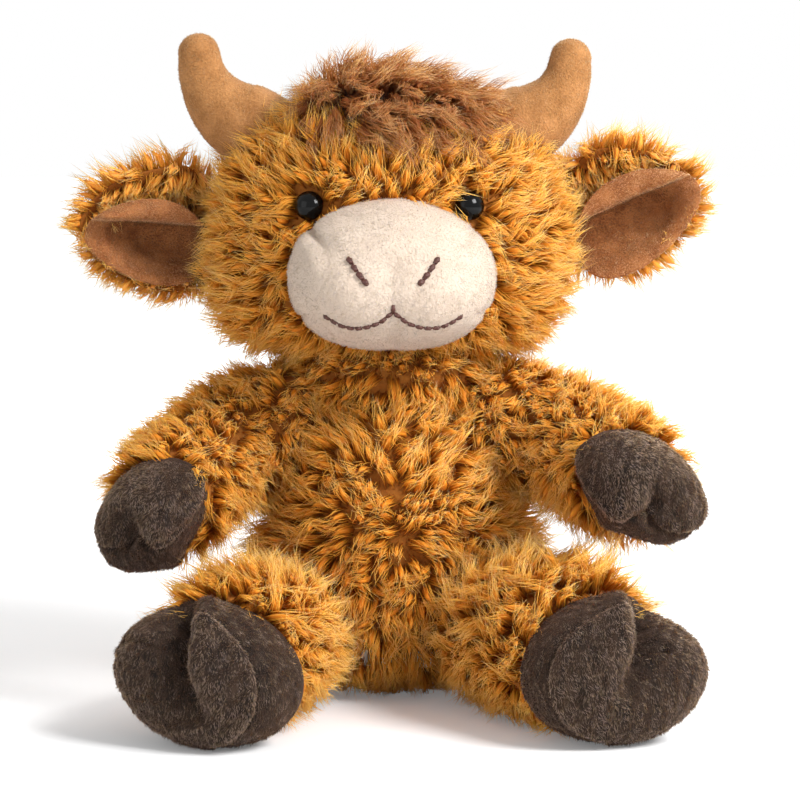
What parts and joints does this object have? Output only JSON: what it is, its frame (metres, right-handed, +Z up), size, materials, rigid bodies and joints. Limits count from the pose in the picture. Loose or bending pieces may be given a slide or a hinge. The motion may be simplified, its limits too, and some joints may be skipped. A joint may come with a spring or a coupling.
{
  "type": "plush cow",
  "caption": "Seated shaggy plush cow with cream muzzle, tan horns, brown forelock, lined ears and dark cloven hooves; head, arms, legs, ears and tail turn on sewn joints.",
  "frame": {"origin": "middle of the flat underside of the seat, on the surface the toy sits on", "axes": "+Z up; the toy faces -Y; +X is the toy's own left"},
  "size_m": [0.2412, 0.2, 0.2455],
  "materials": {
    "long_pile_fur": "long curly pile plush, matte",
    "horn_plush": "short pile plush, matte",
    "hoof_plush": "short pile plush with sheen",
    "muzzle_plush": "short pile plush, matte",
    "ear_plush": "short pile plush, matte",
    "forelock_fur": "long silky pile, matte",
    "embroidery_thread": "twisted polyester thread",
    "eye_plastic": "glossy black",
    "washer_plastic": "natural moulded plastic",
    "stuffing": "white polyester fibre",
    "pellet_cloth": "woven bag of plastic pellets"
  },
  "bodies": {
    "torso": {"body_skin": "long_pile_fur", "body_stuffing": "stuffing", "pellet_bag": "pellet_cloth"},
    "neck": {"neck_stuffing": "stuffing"},
    "head": {"head_skin": "long_pile_fur", "head_stuffing": "stuffing", "muzzle_skin": "muzzle_plush", "muzzle_stuffing": "stuffing", "nostril_stitch_left": "embroidery_thread", "nostril_stitch_right": "embroidery_thread", "mouth_stitch": "embroidery_thread", "forelock": "forelock_fur", "eye_left": "eye_plastic", "eye_right": "eye_plastic", "eye_washer_left": "washer_plastic", "eye_washer_right": "washer_plastic", "horn_skin_left": "horn_plush", "horn_skin_right": "horn_plush", "horn_stuffing_left": "stuffing", "horn_stuffing_right": "stuffing"},
    "tail": {"tail_skin": "long_pile_fur", "tail_tuft": "forelock_fur"},
    "ear_left": {"ear_back_left": "long_pile_fur", "ear_lining_left": "ear_plush"},
    "arm_left": {"arm_skin_left": "long_pile_fur", "front_hoof_left": "hoof_plush", "arm_stuffing_left": "stuffing"},
    "leg_left": {"leg_skin_left": "long_pile_fur", "hind_hoof_left": "hoof_plush", "leg_stuffing_left": "stuffing"},
    "ear_right": {"ear_back_right": "long_pile_fur", "ear_lining_right": "ear_plush"},
    "arm_right": {"arm_skin_right": "long_pile_fur", "front_hoof_right": "hoof_plush", "arm_stuffing_right": "stuffing"},
    "leg_right": {"leg_skin_right": "long_pile_fur", "hind_hoof_right": "hoof_plush", "leg_stuffing_right": "stuffing"}
  },
  "joints": [
    {"name": "head_turn", "type": "hinge", "parent": "torso", "child": "neck", "pos_m": [-0.0012, 0.0015, 0.12175], "axis": [0, 0, 1], "range_deg": [-22, 22], "stiffness_Nm_per_rad": 0.25},
    {"name": "head_nod", "type": "hinge", "parent": "neck", "child": "head", "pos_m": [-0.0012, 0.0015, 0.12175], "axis": [1, 0, 0], "range_deg": [-12, 12], "stiffness_Nm_per_rad": 0.9},
    {"name": "ear_left_flap", "type": "hinge", "parent": "head", "child": "ear_left", "pos_m": [0.06827, 0.003, 0.18242], "axis": [-0.1564, 0, 0.9877], "range_deg": [-25, 25], "stiffness_Nm_per_rad": 0.02},
    {"name": "arm_left_raise", "type": "hinge", "parent": "torso", "child": "arm_left", "pos_m": [0.05703, -0.00393, 0.09897], "axis": [-1, 0, 0], "range_deg": [-3, 45], "stiffness_Nm_per_rad": 0.06},
    {"name": "leg_left_spread", "type": "hinge", "parent": "torso", "child": "leg_left", "pos_m": [0.04085, -0.04309, 0.0235], "axis": [0, 0, 1], "range_deg": [-10, 25], "stiffness_Nm_per_rad": 0.08},
    {"name": "ear_right_flap", "type": "hinge", "parent": "head", "child": "ear_right", "pos_m": [-0.07361, 0.003, 0.17814], "axis": [0.0523, 0, -0.9986], "range_deg": [-25, 25], "stiffness_Nm_per_rad": 0.02},
    {"name": "arm_right_raise", "type": "hinge", "parent": "torso", "child": "arm_right", "pos_m": [-0.05703, -0.00393, 0.09897], "axis": [-1, 0, 0], "range_deg": [-3, 45], "stiffness_Nm_per_rad": 0.06},
    {"name": "leg_right_spread", "type": "hinge", "parent": "torso", "child": "leg_right", "pos_m": [-0.04085, -0.04309, 0.0235], "axis": [0, 0, -1], "range_deg": [-10, 25], "stiffness_Nm_per_rad": 0.08},
    {"name": "tail_lift", "type": "hinge", "parent": "torso", "child": "tail", "pos_m": [0, 0.04536, 0.04926], "axis": [1, 0, 0], "range_deg": [-6, 50], "stiffness_Nm_per_rad": 0.008}
  ]
}
